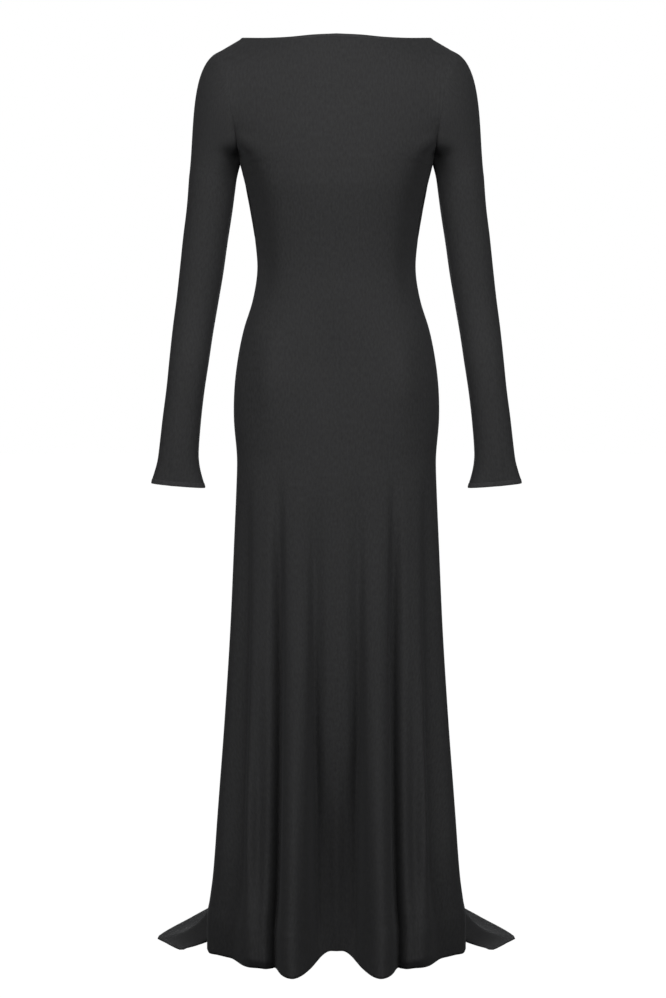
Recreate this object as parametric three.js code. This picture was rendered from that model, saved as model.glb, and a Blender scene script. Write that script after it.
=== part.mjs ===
// A floor-length dress in black stretch jersey, standing open as it is worn.
// It has a wide boat neck with a narrow binding, a close bodice, long set-in sleeves with a
// flared end, a skirt that falls in flutes from the thigh, and a back hem that runs out into a train.
// A pattern cutter's pieces: one front, one back, two sleeves, a neck binding and two cuff bands.
//
// Millimetres. X runs across the dress, -Y is its front, Z is up.
// The origin is midway between the two neck points, on the shoulder line that carries the dress.
// Heights in the tables below are above the floor.

import * as THREE from 'three';

const NECK_POINT_HEIGHT = 1453;
const CLOTH = 1.2; // one layer of jersey, with its loft
const FOLDED_CLOTH = 2.0; // a binding or a turned band
const SEAM_GAP = 0.3;
const DOUBLED_BACK = 0.2;
const BINDING_WIDTH = 6;
const CUFF_BAND_WIDTH = 8;

// The body tube from the underarm to the hem: half its width, and how far the front and the back
// stand from the plane of the side seams.
const UNDERARM_HEIGHT = 1256;
const BODY = [
  { height: 0, half: 209, front: 118, back: 172 },
  { height: 60, half: 208.5, front: 118, back: 168 },
  { height: 82, half: 204.5, front: 117, back: 166 },
  { height: 131, half: 198, front: 116, back: 160 },
  { height: 229, half: 189.5, front: 114, back: 146 },
  { height: 376, half: 178, front: 111, back: 132 },
  { height: 521, half: 168.5, front: 108, back: 123 },
  { height: 665, half: 162, front: 105, back: 119 },
  { height: 761, half: 158, front: 103, back: 121 },
  { height: 800, half: 157.5, front: 102, back: 124 },
  { height: 856, half: 162, front: 101, back: 127 },
  { height: 904, half: 161, front: 100, back: 122 },
  { height: 951, half: 156, front: 97, back: 111 },
  { height: 998, half: 146.5, front: 94, back: 98 },
  { height: 1045, half: 132, front: 90, back: 88 },
  { height: 1092, half: 124.7, front: 89, back: 84 },
  { height: 1139, half: 128, front: 94, back: 88 },
  { height: 1186, half: 135, front: 102, back: 94 },
  { height: 1220, half: 142, front: 107, back: 98 },
  { height: 1256, half: 151, front: 107, back: 100 },
];
const SECTION_POWER = 2.2; // 2 is an ellipse, more is squarer

// Where the cloth of one half runs round the body: s is 0 at the centre and 1 at the side seam,
// and the angles, in degrees from the centre, are those at the hip and at the hem.
const FRONT_LANES = [
  { s: 0.0, hip: 0, hem: 0 },
  { s: 0.14, hip: 10.1, hem: 7.8 },
  { s: 0.28, hip: 20.8, hem: 15.5 },
  { s: 0.42, hip: 32.7, hem: 25.1 },
  { s: 0.58, hip: 45.5, hem: 35.5 },
  { s: 0.75, hip: 62, hem: 49 },
  { s: 0.88, hip: 76, hem: 68 },
  { s: 1.0, hip: 90, hem: 90 },
];
const BACK_LANES = [
  { s: 0.0, hip: 0, hem: 0 },
  { s: 0.5, hip: 45, hem: 45 },
  { s: 1.0, hip: 90, hem: 90 },
];

// The flutes of one half: how far each line of cloth stands out (+) or in (-) from the body tube,
// at four heights. Above FOLD_TOP the jersey is smooth.
const FOLD_TOP = 790;
const FOLD_HEIGHTS = [
  { level: 'hem', height: 0 },
  { level: 'shin', height: 180 },
  { level: 'knee', height: 380 },
  { level: 'thigh', height: 620 },
];
const FRONT_FOLDS = [
  { s: 0.0, thigh: -1, knee: -10, shin: -42, hem: -46 }, // centre recess
  { s: 0.065, thigh: -2, knee: -13, shin: -46, hem: -50 },
  { s: 0.14, thigh: -7, knee: -20, shin: -36, hem: -34 }, // recess wall
  { s: 0.2, thigh: 0, knee: 4, shin: 10, hem: 12 },
  { s: 0.28, thigh: 4, knee: 15, shin: 31, hem: 38 }, // crest of the flute
  { s: 0.36, thigh: 1, knee: 6, shin: 15, hem: 26 },
  { s: 0.42, thigh: -9, knee: -17, shin: -19, hem: -8 }, // outer crease
  { s: 0.49, thigh: 1, knee: 1, shin: 3, hem: 1 },
  { s: 0.58, thigh: 2, knee: 3, shin: 0, hem: -7 },
  { s: 0.66, thigh: 1, knee: 3, shin: 2, hem: -16 },
  { s: 0.75, thigh: -6, knee: -10, shin: -12, hem: -29 }, // side crease
  { s: 0.88, thigh: 1, knee: 2, shin: 1, hem: -14 },
  { s: 1.0, thigh: 0, knee: 0, shin: 0, hem: 0 },
];
const BACK_FOLDS = [
  { s: 0.0, thigh: -2, knee: -8, shin: -15, hem: -18 },
  { s: 0.1, thigh: 3, knee: 10, shin: 18, hem: 22 },
  { s: 0.22, thigh: -4, knee: -13, shin: -20, hem: -22 },
  { s: 0.34, thigh: 3, knee: 10, shin: 17, hem: 22 },
  { s: 0.46, thigh: -4, knee: -11, shin: -16, hem: -18 },
  { s: 0.58, thigh: 3, knee: 8, shin: 12, hem: 15 },
  { s: 0.7, thigh: -3, knee: -8, shin: -11, hem: -12 },
  { s: 0.79, thigh: 2, knee: 4, shin: 7, hem: 9 },
  { s: 0.9, thigh: -3, knee: -6, shin: -10, hem: -12 },
  { s: 1.0, thigh: 0, knee: 0, shin: 0, hem: 0 },
];

// The front hem, one half, from the centre front to the side seam: where it stands, how far it
// hangs clear of the floor, and how far its last TUCK_HEIGHT turns in under the flute.
const FRONT_HEM = [
  { s: 0.0, x: 0, y: -75, lift: 20, tuck: 0 },
  { s: 0.065, x: 11, y: -75, lift: 20, tuck: 0 },
  { s: 0.1, x: 17.5, y: -77, lift: 17.5, tuck: 0 },
  { s: 0.14, x: 24, y: -84, lift: 13.5, tuck: 0 },
  { s: 0.17, x: 31, y: -96, lift: 8, tuck: 0 },
  { s: 0.21, x: 42.2, y: -118, lift: 3, tuck: 0 },
  { s: 0.25, x: 54, y: -143, lift: 1, tuck: 0 },
  { s: 0.3, x: 66, y: -155.5, lift: 0, tuck: 0 },
  { s: 0.345, x: 77, y: -151, lift: 0, tuck: 0 },
  { s: 0.385, x: 87, y: -132, lift: 0, tuck: 0 },
  { s: 0.42, x: 95.5, y: -99, lift: 0, tuck: 0 },
  { s: 0.455, x: 101, y: -101, lift: 0, tuck: 5 },
  { s: 0.51, x: 113, y: -108.5, lift: 0, tuck: 13 },
  { s: 0.58, x: 130, y: -103, lift: 0, tuck: 13 },
  { s: 0.66, x: 147, y: -86, lift: 0, tuck: 6 },
  { s: 0.75, x: 165, y: -50, lift: 0, tuck: 0 },
  { s: 0.82, x: 177, y: -39, lift: 0, tuck: 0 },
  { s: 0.88, x: 190.6, y: -28, lift: 0, tuck: 0 },
  { s: 0.945, x: 204, y: -18, lift: 0, tuck: 0 },
  { s: 1.0, x: 209, y: 0, lift: 2, tuck: 0 },
];
const HEM_REACH = 180; // the hem line draws the cloth to itself up to here
const TUCK_HEIGHT = 15;

// The train: the hem line of the back on the floor, one half, from the centre back to the side seam.
// `ridge` is how high the last flutes stand there halfway out from the skirt.
const TRAIN_HEM = [
  { s: 0.0, x: 0, y: 440, ridge: 0 },
  { s: 0.1, x: 46, y: 437, ridge: 9 },
  { s: 0.22, x: 98, y: 420, ridge: 0 },
  { s: 0.34, x: 147, y: 385, ridge: 10 },
  { s: 0.46, x: 184, y: 333, ridge: 0 },
  { s: 0.58, x: 213, y: 268, ridge: 8 },
  { s: 0.7, x: 247, y: 190, ridge: 0 },
  { s: 0.79, x: 294.5, y: 72, ridge: 9 }, // corner of the train
  { s: 0.82, x: 280, y: 42, ridge: 9 },
  { s: 0.85, x: 265, y: 17, ridge: 5 },
  { s: 0.88, x: 250, y: 0, ridge: 1 },
  { s: 0.92, x: 227, y: 26, ridge: 0 },
  { s: 0.96, x: 204, y: 62, ridge: 0 },
  { s: 1.0, x: 209, y: 0, ridge: 0 },
];
const SWEEP_TOP = 131; // the back starts to run out into the train at this height
const SWEEP_DROP = 0.85; // share of that height that falls almost straight
const SWEEP_TURN = 50; // the furthest that the cloth's turn onto the floor reaches out
const SEAM_BLEND = 0.93; // beyond this s the back closes in on the side seam

// The yoke above the underarm. The centre line of the front and of the back, from underarm to neck:
const YOKE_CENTRE = [
  { r: 0.0, height: 1256, front: 107, back: 100 },
  { r: 0.33, height: 1321, front: 101, back: 103 },
  { r: 0.66, height: 1387, front: 89, back: 93 },
  { r: 1.0, height: 1449.5, front: 75, back: 62 },
];
// The neck line, from its centre to the neck point. It sags a little between the two.
const NECK_LINE = [
  { share: 0.0, height: 1449.5, front: 75, back: 62 },
  { share: 0.25, height: 1448.5, front: 70, back: 58 },
  { share: 0.5, height: 1447, front: 56, back: 46.5 },
  { share: 0.75, height: 1448.5, front: 33, back: 27 },
  { share: 1.0, height: 1453, front: 0, back: 0 },
];
const NECK_HALF_WIDTH = 146;
const SHOULDER_HALF_WIDTH = 184;
const SHOULDER_TIP_HEIGHT = 1431;
const NECK_BLEND = 6; // how late the yoke turns to its top edge

// The armhole, a loop from the shoulder tip down the front to the underarm and up the back.
const ARMHOLE = {
  middleHeight: (SHOULDER_TIP_HEIGHT + UNDERARM_HEIGHT) / 2,
  halfHeight: (SHOULDER_TIP_HEIGHT - UNDERARM_HEIGHT) / 2,
  frontReach: 58,
  backReach: 62,
  frontWidth: 163,
  backWidth: 168,
};

// The sleeve below the cap: centre of each section, half its width and depth, and how much its outer
// side is higher than its inner side for each millimetre across.
const CAP_END = 1233;
const SLEEVE = [
  { height: 755, x: 248.2, y: -39, width: 42.5, depth: 24, lean: 0.085 },
  { height: 763, x: 248.4, y: -38, width: 40.5, depth: 24.5, lean: 0.09 },
  { height: 775, x: 248.3, y: -36.5, width: 36.8, depth: 25.5, lean: 0.1 },
  { height: 790, x: 248, y: -34.5, width: 33.2, depth: 27, lean: 0.11 },
  { height: 809, x: 247.4, y: -32, width: 31.2, depth: 28.5, lean: 0.125 },
  { height: 856, x: 243.2, y: -26, width: 30.2, depth: 31, lean: 0.139 },
  { height: 904, x: 237.5, y: -21, width: 29.8, depth: 33, lean: 0.139 },
  { height: 951, x: 231.8, y: -14, width: 31, depth: 35, lean: 0.139 },
  { height: 998, x: 226.3, y: -1, width: 32, depth: 37, lean: 0.139 },
  { height: 1045, x: 219.5, y: 7, width: 33, depth: 38.5, lean: 0.139 },
  { height: 1092, x: 212.8, y: 9, width: 34.4, depth: 40, lean: 0.139 },
  { height: 1139, x: 206.8, y: 9, width: 35.2, depth: 41, lean: 0.139 },
  { height: 1186, x: 200, y: 8, width: 35.9, depth: 42.5, lean: 0.139 },
  { height: 1233, x: 194.6, y: 6, width: 37.3, depth: 44, lean: 0.139 },
];

// Stations of the walls, chosen where the shape turns.
const YOKE_STEPS = 7;
const TUBE_HEIGHTS = [1220, 1180, 1139, 1092, 1045, 998, 951, 904, 856, 800, 740, 665, 560, 440, 320, 215, 131];
const LOW_HEIGHTS = [108, 84, 62, 42, 28, 15, 0];
const FRONT_COLUMNS = [
  0, 0.065, 0.1, 0.14, 0.17, 0.21, 0.25, 0.3, 0.345, 0.385, 0.42, 0.455, 0.51, 0.58, 0.66, 0.75, 0.82, 0.88, 0.945, 1,
];
const BACK_COLUMNS = [
  0, 0.05, 0.1, 0.16, 0.22, 0.28, 0.34, 0.4, 0.46, 0.52, 0.58, 0.64, 0.7, 0.745, 0.79, 0.82, 0.85, 0.88, 0.92, 0.96, 1,
];
const CAP_STEPS = 5;
const ARM_HEIGHTS = [1200, 1165, 1130, 1095, 1060, 1025, 980, 935, 890, 845, 809, 790, 775, 763];

const radians = (degrees) => (degrees * Math.PI) / 180;
const mix = (a, b, t) => a + (b - a) * t;
const clamp01 = (t) => Math.min(1, Math.max(0, t));
const ease = (t) => clamp01(t) ** 2 * (3 - 2 * clamp01(t));

// A smooth curve through one column of a table whose key column rises.
function smooth(table, key, column, at) {
  const last = table.length - 1;
  const x = Math.min(table[last][key], Math.max(table[0][key], at));
  let i = 0;
  while (i < last - 1 && x > table[i + 1][key]) i += 1;
  const slope = (k) => {
    const a = table[Math.max(0, k - 1)];
    const b = table[Math.min(last, k + 1)];
    return (b[column] - a[column]) / (b[key] - a[key]);
  };
  const run = table[i + 1][key] - table[i][key];
  const t = (x - table[i][key]) / run;
  const start = table[i][column];
  const rise = table[i + 1][column] - start;
  return start + rise * t * t * (3 - 2 * t) + run * t * (1 - t) * (slope(i) * (1 - t) - slope(i + 1) * t);
}

// How far the fold at s stands from the tube at a height, between the levels of the fold table.
function foldOffset(folds, s, height) {
  if (height >= FOLD_TOP) return 0;
  const column = FOLD_HEIGHTS.map(({ level, height: at }) => ({ at, out: smooth(folds, 's', level, s) }));
  column.push({ at: FOLD_TOP, out: 0 });
  return smooth(column, 'at', 'out', height);
}

const FRONT = { sign: -1, depth: 'front', lanes: FRONT_LANES, folds: FRONT_FOLDS };
const BACK = { sign: 1, depth: 'back', lanes: BACK_LANES, folds: BACK_FOLDS };

// The angle of a line of cloth round the body at a height.
function laneAngle(panel, s, height) {
  const down = clamp01(1 - height / FOLD_TOP);
  return radians(mix(smooth(panel.lanes, 's', 'hip', s), smooth(panel.lanes, 's', 'hem', s), down));
}

// A point of the body tube, folds included, on the +X half.
function tubePoint(panel, s, height) {
  const half = smooth(BODY, 'height', 'half', height);
  const depth = smooth(BODY, 'height', panel.depth, height);
  const angle = laneAngle(panel, s, height);
  const across = Math.sin(angle);
  const along = Math.max(0, Math.cos(angle));
  const turn = 2 - 2 / SECTION_POWER;
  const normal = new THREE.Vector2(across ** turn / half, along ** turn / depth).normalize();
  const out = foldOffset(panel.folds, s, height);
  return new THREE.Vector3(
    half * across ** (2 / SECTION_POWER) + normal.x * out,
    panel.sign * (depth * along ** (2 / SECTION_POWER) + normal.y * out),
    height,
  );
}

// The front of the body and skirt, drawn to its hem line at the bottom.
function frontPoint(s, height) {
  const hem = (column) => smooth(FRONT_HEM, 's', column, s);
  const point = tubePoint(FRONT, s, height);
  const free = tubePoint(FRONT, s, 0);
  const draw = clamp01(1 - height / HEM_REACH) ** 1.6;
  point.x += (hem('x') - free.x) * draw;
  point.y += (hem('y') - free.y) * draw;
  point.y -= hem('tuck') * clamp01(height / TUCK_HEIGHT) * clamp01(1.5 - height / HEM_REACH) ** 2;
  point.z += hem('lift') * clamp01(1 - height / (4 * TUCK_HEIGHT));
  return point;
}

// The back below the body: t runs from the skirt at SWEEP_TOP, 0, out to the train's hem, 1.
function sweepPoint(s, t, seamHeight) {
  const start = tubePoint(BACK, s, SWEEP_TOP);
  const end = new THREE.Vector3(smooth(TRAIN_HEM, 's', 'x', s), smooth(TRAIN_HEM, 's', 'y', s), CLOTH);
  const out = new THREE.Vector3(end.x - start.x, end.y - start.y, 0);
  const turn = out.clone().setLength(Math.min(SWEEP_TURN, out.length() * 0.3));
  const fall = new THREE.CubicBezierCurve3(
    start,
    new THREE.Vector3(start.x, start.y, SWEEP_TOP * (1 - SWEEP_DROP)),
    new THREE.Vector3(start.x + turn.x, start.y + turn.y, CLOTH),
    end,
  );
  const point = fall.getPoint(t);
  point.z += smooth(TRAIN_HEM, 's', 'ridge', s) * Math.sin(Math.PI * t) ** 2;
  const seam = frontPoint(1, seamHeight);
  return point.lerp(seam, ease((s - SEAM_BLEND) / (1 - SEAM_BLEND)));
}

// The armhole at a turn from the shoulder tip, 0, through the front to the underarm, pi, and round.
function armholePoint(turn) {
  const up = Math.cos(turn);
  const front = Math.sin(turn) >= 0;
  const middle = front ? ARMHOLE.frontWidth : ARMHOLE.backWidth;
  const tip = SHOULDER_HALF_WIDTH;
  const under = smooth(BODY, 'height', 'half', UNDERARM_HEIGHT);
  const x = middle + ((tip - under) / 2) * up + ((tip + under) / 2 - middle) * up * up;
  const reach = front ? ARMHOLE.frontReach : ARMHOLE.backReach;
  return new THREE.Vector3(x, -reach * Math.sin(turn), ARMHOLE.middleHeight + ARMHOLE.halfHeight * up);
}

// The top edge of the yoke: the boat neck as far as the neck point, then the shoulder seam.
function yokeTop(panel, across) {
  const neckShare = NECK_HALF_WIDTH / SHOULDER_HALF_WIDTH;
  const share = Math.min(1, across / neckShare);
  const down = clamp01((across - neckShare) / (1 - neckShare));
  return {
    y: panel.sign * smooth(NECK_LINE, 'share', panel.depth, share),
    height: mix(smooth(NECK_LINE, 'share', 'height', share), SHOULDER_TIP_HEIGHT, down),
  };
}

// The yoke as its centre line and the armhole alone would draw it; r is 0 at the underarm, 1 on top.
function yokeSheet(panel, angle, r) {
  const centreHeight = smooth(YOKE_CENTRE, 'r', 'height', r);
  const centreDepth = panel.sign * smooth(YOKE_CENTRE, 'r', panel.depth, r);
  const edge = armholePoint(panel === FRONT ? Math.PI * (1 - r) : Math.PI * (1 + r));
  const across = Math.sin(angle) ** (2 / mix(SECTION_POWER, 2, ease(2 * r)));
  const inward = Math.max(0, Math.cos(angle)) ** (2 / mix(SECTION_POWER, 1, ease(2 * r)));
  return new THREE.Vector3(
    edge.x * across,
    mix(edge.y, centreDepth, inward),
    mix(centreHeight, edge.z, across ** 2),
  );
}

// A point of the yoke, which comes onto the neck line and the shoulder seam towards its top.
function yokePoint(panel, s, r) {
  const angle = laneAngle(panel, s, FOLD_TOP);
  const point = yokeSheet(panel, angle, r);
  const highest = yokeSheet(panel, angle, 1);
  const top = yokeTop(panel, highest.x / SHOULDER_HALF_WIDTH);
  const share = r ** NECK_BLEND;
  point.y += (top.y - highest.y) * share;
  point.z += (top.height - highest.z) * share;
  return point;
}

// The point of the sleeve's section at a height, turning from its outer side through the front.
function sleeveRing(turn, height) {
  const at = (column) => smooth(SLEEVE, 'height', column, height);
  const width = at('width') * Math.cos(turn);
  return new THREE.Vector3(
    at('x') + width * Math.cos(Math.atan(at('lean'))),
    at('y') - at('depth') * Math.sin(turn),
    height + width * at('lean'),
  );
}

// The sleeve cap: t runs from the armhole, 0, over the shoulder to the full sleeve, 1.
function capPoint(turn, t) {
  const up = Math.cos(turn);
  const from = armholePoint(turn);
  const to = sleeveRing(turn, CAP_END);
  const leave = new THREE.Vector3(
    62 + 65 * up + 13 * up * up,
    -15 * Math.sin(turn),
    -75 - 12.5 * up + 27.5 * up * up,
  );
  const arrive = new THREE.Vector3(smooth(SLEEVE, 'height', 'lean', CAP_END), 0, -1).multiplyScalar(110 + 85 * up + 5 * up * up);
  const rest = 1 - t;
  return new THREE.Vector3()
    .addScaledVector(from, rest * rest * (1 + 2 * t))
    .addScaledVector(to, t * t * (3 - 2 * t))
    .addScaledVector(leave, t * rest * rest)
    .addScaledVector(arrive, -t * t * rest);
}

// Both halves of a row of a front or back, from -X to +X.
function fullRow(columns, pointAt) {
  const right = columns.map(pointAt);
  const left = right.slice(1).map((p) => new THREE.Vector3(-p.x, p.y, p.z));
  return [...left.reverse(), ...right];
}

// The rows of a front or back from its top edge to the last tube height.
function upperRows(panel, columns) {
  const rows = [];
  for (let k = YOKE_STEPS; k >= 0; k -= 1) {
    rows.push(fullRow(columns, (s) => yokePoint(panel, s, k / YOKE_STEPS)));
  }
  const bodyPoint = panel === FRONT ? frontPoint : (s, height) => tubePoint(BACK, s, height);
  TUBE_HEIGHTS.forEach((height) => rows.push(fullRow(columns, (s) => bodyPoint(s, height))));
  return rows;
}

// The neck column is the one nearest the neck point; it is moved onto it.
function neckColumns(panel, columns) {
  const share = NECK_HALF_WIDTH / SHOULDER_HALF_WIDTH;
  let low = 0;
  let high = 1;
  for (let k = 0; k < 40; k += 1) {
    const middle = (low + high) / 2;
    if (Math.sin(laneAngle(panel, middle, FOLD_TOP)) < share) low = middle;
    else high = middle;
  }
  const nearest = columns.reduce((best, s) => (Math.abs(s - low) < Math.abs(best - low) ? s : best));
  return columns.map((s) => (s === nearest ? low : s));
}

// Takes the top row of a yoke down by the binding's width inside the neck, and returns the binding's
// two rows on that stretch: its top edge and its foot.
function cutNeck(rows, columns, neckIndex) {
  const middle = columns.length - 1;
  const top = rows[0];
  const binding = { edge: [], foot: [] };
  for (let j = middle - neckIndex; j <= middle + neckIndex; j += 1) {
    const atNeckPoint = Math.abs(j - middle) === neckIndex;
    const towards = atNeckPoint ? top[j + Math.sign(j - middle)] : rows[1][j];
    const edge = top[j].clone();
    const foot = edge.clone().add(towards.clone().sub(edge).setLength(BINDING_WIDTH));
    binding.edge.push(edge);
    binding.foot.push(foot);
  }
  binding.foot.forEach((foot, k) => {
    top[middle - neckIndex + k] = foot.clone();
  });
  return binding;
}

const frontColumns = neckColumns(FRONT, FRONT_COLUMNS);
const backColumns = neckColumns(BACK, BACK_COLUMNS);
const neckIndexOf = (panel, columns) => {
  const share = NECK_HALF_WIDTH / SHOULDER_HALF_WIDTH;
  const gaps = columns.map((s) => Math.abs(Math.sin(laneAngle(panel, s, FOLD_TOP)) - share));
  return gaps.indexOf(Math.min(...gaps));
};

const frontRows = upperRows(FRONT, frontColumns);
const backRows = upperRows(BACK, backColumns);
LOW_HEIGHTS.forEach((height, k) => {
  frontRows.push(fullRow(frontColumns, (s) => frontPoint(s, height)));
  backRows.push(fullRow(backColumns, (s) => sweepPoint(s, (k + 1) / LOW_HEIGHTS.length, height)));
});
const frontBinding = cutNeck(frontRows, frontColumns, neckIndexOf(FRONT, frontColumns));
const backBinding = cutNeck(backRows, backColumns, neckIndexOf(BACK, backColumns));

// The binding goes once round the neck: along the front from -X to +X, and home along the back.
const ring = (front, back) => [...front, ...back.slice(1, -1).reverse()];
const bindingRows = [
  ring(frontBinding.edge, backBinding.edge),
  ring(frontBinding.foot, backBinding.foot),
];

// A sleeve's turns follow the yoke's rows, so that the seam's points are shared.
const sleeveTurns = Array.from({ length: 2 * YOKE_STEPS }, (_, k) => (Math.PI * k) / YOKE_STEPS);
const sleeveRows = [];
for (let k = 0; k <= CAP_STEPS; k += 1) {
  sleeveRows.push(sleeveTurns.map((turn) => capPoint(turn, k / CAP_STEPS)));
}
ARM_HEIGHTS.forEach((height) => sleeveRows.push(sleeveTurns.map((turn) => sleeveRing(turn, height))));
const cuffTop = ARM_HEIGHTS[ARM_HEIGHTS.length - 1];
const cuffRows = [cuffTop, cuffTop - CUFF_BAND_WIDTH].map((height) =>
  sleeveTurns.map((turn) => sleeveRing(turn, height)),
);
const mirrored = (rows) => rows.map((row) => row.map((p) => new THREE.Vector3(-p.x, p.y, p.z)));

// Each wall: its rows of outer points, whether a row closes on itself, its thickness, whether the
// winding has to be turned round, and which of its four edges are sewn to a neighbour.
const JERSEY = { color: 0x2b2b2d, roughness: 0.82, metalness: 0 };
const TRIM = { color: 0x2f2f31, roughness: 0.78, metalness: 0 };
const all = { top: true, bottom: true, sides: true };
const WALLS = [
  { name: 'front', rows: frontRows, sewn: { ...all, bottom: false }, look: JERSEY },
  { name: 'back', rows: backRows, turned: true, sewn: { ...all, bottom: false }, look: JERSEY },
  { name: 'sleeve_left', rows: sleeveRows, closed: true, turned: true, sewn: all, look: JERSEY },
  { name: 'sleeve_right', rows: mirrored(sleeveRows), closed: true, sewn: all, look: JERSEY },
  {
    name: 'neck_binding', rows: bindingRows, closed: true, thick: FOLDED_CLOTH,
    sewn: { bottom: true }, look: TRIM,
  },
  {
    name: 'cuff_band_left', rows: cuffRows, closed: true, turned: true, thick: FOLDED_CLOTH,
    sewn: { top: true }, look: TRIM,
  },
  {
    name: 'cuff_band_right', rows: mirrored(cuffRows), closed: true, thick: FOLDED_CLOTH,
    sewn: { top: true }, look: TRIM,
  },
];

// The four corners of each cell of a wall, in the order that faces outwards.
function cells(wall) {
  const { rows, closed, turned } = wall;
  const width = rows[0].length;
  const list = [];
  for (let i = 0; i + 1 < rows.length; i += 1) {
    for (let j = 0; j < (closed ? width : width - 1); j += 1) {
      const k = (j + 1) % width;
      const corners = [[i, j], [i + 1, j], [i + 1, k], [i, k]];
      list.push(turned ? corners.reverse() : corners);
    }
  }
  return list;
}

const keyOf = (p) => [p.x, p.y, p.z].map((v) => Math.round(v * 20)).join();

// One normal for each point of the whole dress, shared across the seams. Where the sleeve doubles
// back on the body under the arm, the sleeve takes its own, so that its wall lies inside it.
function sharedNormals(walls) {
  const sums = new Map();
  const sleeveSums = new Map();
  const add = (side, p, normal) => {
    const key = keyOf(p);
    if (!side.has(key)) side.set(key, new THREE.Vector3());
    side.get(key).add(normal);
  };
  walls.forEach((wall) => {
    cells(wall).forEach((cell) => {
      const [a, b, c, d] = cell.map(([i, j]) => wall.rows[i][j]);
      const normal = c.clone().sub(a).cross(d.clone().sub(b));
      [a, b, c, d].forEach((p) => {
        add(sums, p, normal);
        if (wall.name.startsWith('sleeve')) add(sleeveSums, p, normal);
      });
    });
  });
  return (p, wall) => {
    const key = keyOf(p);
    const normal = sums.get(key).clone();
    if (wall.name.startsWith('sleeve')) {
      const own = sleeveSums.get(key);
      if (own.dot(normal) < DOUBLED_BACK * own.length() * normal.length()) normal.copy(own);
    }
    if (Math.abs(p.y) < 0.01) normal.y = 0; // the shoulder and side seams lie in this plane
    return normal.normalize();
  };
}

// The outer and inner points of a wall, with its sewn edges drawn back by half the seam gap.
function wallPoints(wall, normalAt) {
  const { rows, closed, sewn, thick = CLOTH } = wall;
  const lastRow = rows.length - 1;
  const lastColumn = rows[0].length - 1;
  const outer = [];
  const inner = [];
  rows.forEach((row, i) => row.forEach((p, j) => {
    const normal = normalAt(p, wall);
    const pull = new THREE.Vector3();
    const drawTo = (q) => pull.add(q.clone().sub(p).projectOnPlane(normal).setLength(SEAM_GAP / 2));
    if (sewn.top && i === 0) drawTo(rows[1][j]);
    if (sewn.bottom && i === lastRow) drawTo(rows[lastRow - 1][j]);
    if (sewn.sides && !closed && j === 0) drawTo(row[1]);
    if (sewn.sides && !closed && j === lastColumn) drawTo(row[lastColumn - 1]);
    const lifted = (thick - CLOTH) / 2;
    outer.push(p.clone().add(pull).addScaledVector(normal, lifted));
    inner.push(p.clone().add(pull).addScaledVector(normal, lifted - thick));
  }));
  return { outer, inner };
}

// A closed wall: outer face, inner face and the rim between them.
function wallGeometry(wall, normalAt) {
  const width = wall.rows[0].length;
  const { outer, inner } = wallPoints(wall, normalAt);
  const index = [];
  const rim = new Map();
  const at = ([i, j]) => i * width + j;
  const quad = (a, b, c, d) => index.push(a, b, c, a, c, d);
  const points = [...outer, ...inner];
  const n = outer.length;
  const shorter = (a, b, c, d) => points[a].distanceTo(points[c]) <= points[b].distanceTo(points[d]) + 0.01;
  cells(wall).forEach((cell) => {
    const [a, b, c, d] = cell.map(at);
    if (shorter(a, b, c, d)) {
      quad(a, b, c, d);
      quad(a + n, d + n, c + n, b + n);
    } else {
      quad(b, c, d, a);
      quad(b + n, a + n, d + n, c + n);
    }
    [[a, b], [b, c], [c, d], [d, a]].forEach(([p, q]) => {
      if (rim.has(`${q},${p}`)) rim.delete(`${q},${p}`);
      else rim.set(`${p},${q}`, [p, q]);
    });
  });
  rim.forEach(([p, q]) => {
    if (shorter(q, p, p + n, q + n)) quad(q, p, p + n, q + n);
    else quad(p, p + n, q + n, q);
  });
  const positions = points.flatMap((p) => [p.x, p.y, p.z - NECK_POINT_HEIGHT]);
  const geometry = new THREE.BufferGeometry();
  geometry.setAttribute('position', new THREE.Float32BufferAttribute(positions, 3));
  geometry.setIndex(index);
  geometry.computeVertexNormals();
  return geometry;
}

const dress = new THREE.Group();
dress.name = 'maxi_dress';
const normalAt = sharedNormals(WALLS);
WALLS.forEach((wall) => {
  const mesh = new THREE.Mesh(
    wallGeometry(wall, normalAt),
    new THREE.MeshStandardMaterial(wall.look),
  );
  mesh.name = wall.name;
  dress.add(mesh);
});

export default dress;
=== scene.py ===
import math

import bmesh
import bpy
import numpy as np
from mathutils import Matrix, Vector


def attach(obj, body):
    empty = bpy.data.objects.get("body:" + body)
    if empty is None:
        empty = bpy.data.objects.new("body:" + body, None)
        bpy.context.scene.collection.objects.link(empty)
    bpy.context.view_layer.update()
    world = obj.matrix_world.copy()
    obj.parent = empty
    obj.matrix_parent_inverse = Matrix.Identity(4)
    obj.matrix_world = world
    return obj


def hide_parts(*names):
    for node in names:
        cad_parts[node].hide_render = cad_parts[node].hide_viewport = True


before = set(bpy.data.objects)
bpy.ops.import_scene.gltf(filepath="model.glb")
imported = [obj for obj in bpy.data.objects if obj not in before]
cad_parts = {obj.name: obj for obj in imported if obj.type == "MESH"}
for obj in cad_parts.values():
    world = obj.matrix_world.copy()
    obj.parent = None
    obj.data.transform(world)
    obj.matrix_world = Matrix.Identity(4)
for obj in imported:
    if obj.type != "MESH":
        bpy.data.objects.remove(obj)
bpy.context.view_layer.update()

# The front: one piece of matte stretch jersey, cut from the boat neck to the floor and sewn to the
# back at the sides and shoulders. It lies smooth over the body and falls from the thigh in two deep
# flutes with a flat recess between them. Sizes are in millimetres, heights are above the floor.

NECK_POINT_HEIGHT = 1453.0
UNDERARM_HEIGHT = 1256.0
CLOTH = 1.2  # its thickness
SECTION_POWER = 2.2  # of the body's section: 2 is an ellipse, more is squarer


def table(columns, *rows):
    """A table with named columns, whose first column rises."""
    return dict(zip(columns.split(), np.array(rows, dtype=float).T))


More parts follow.
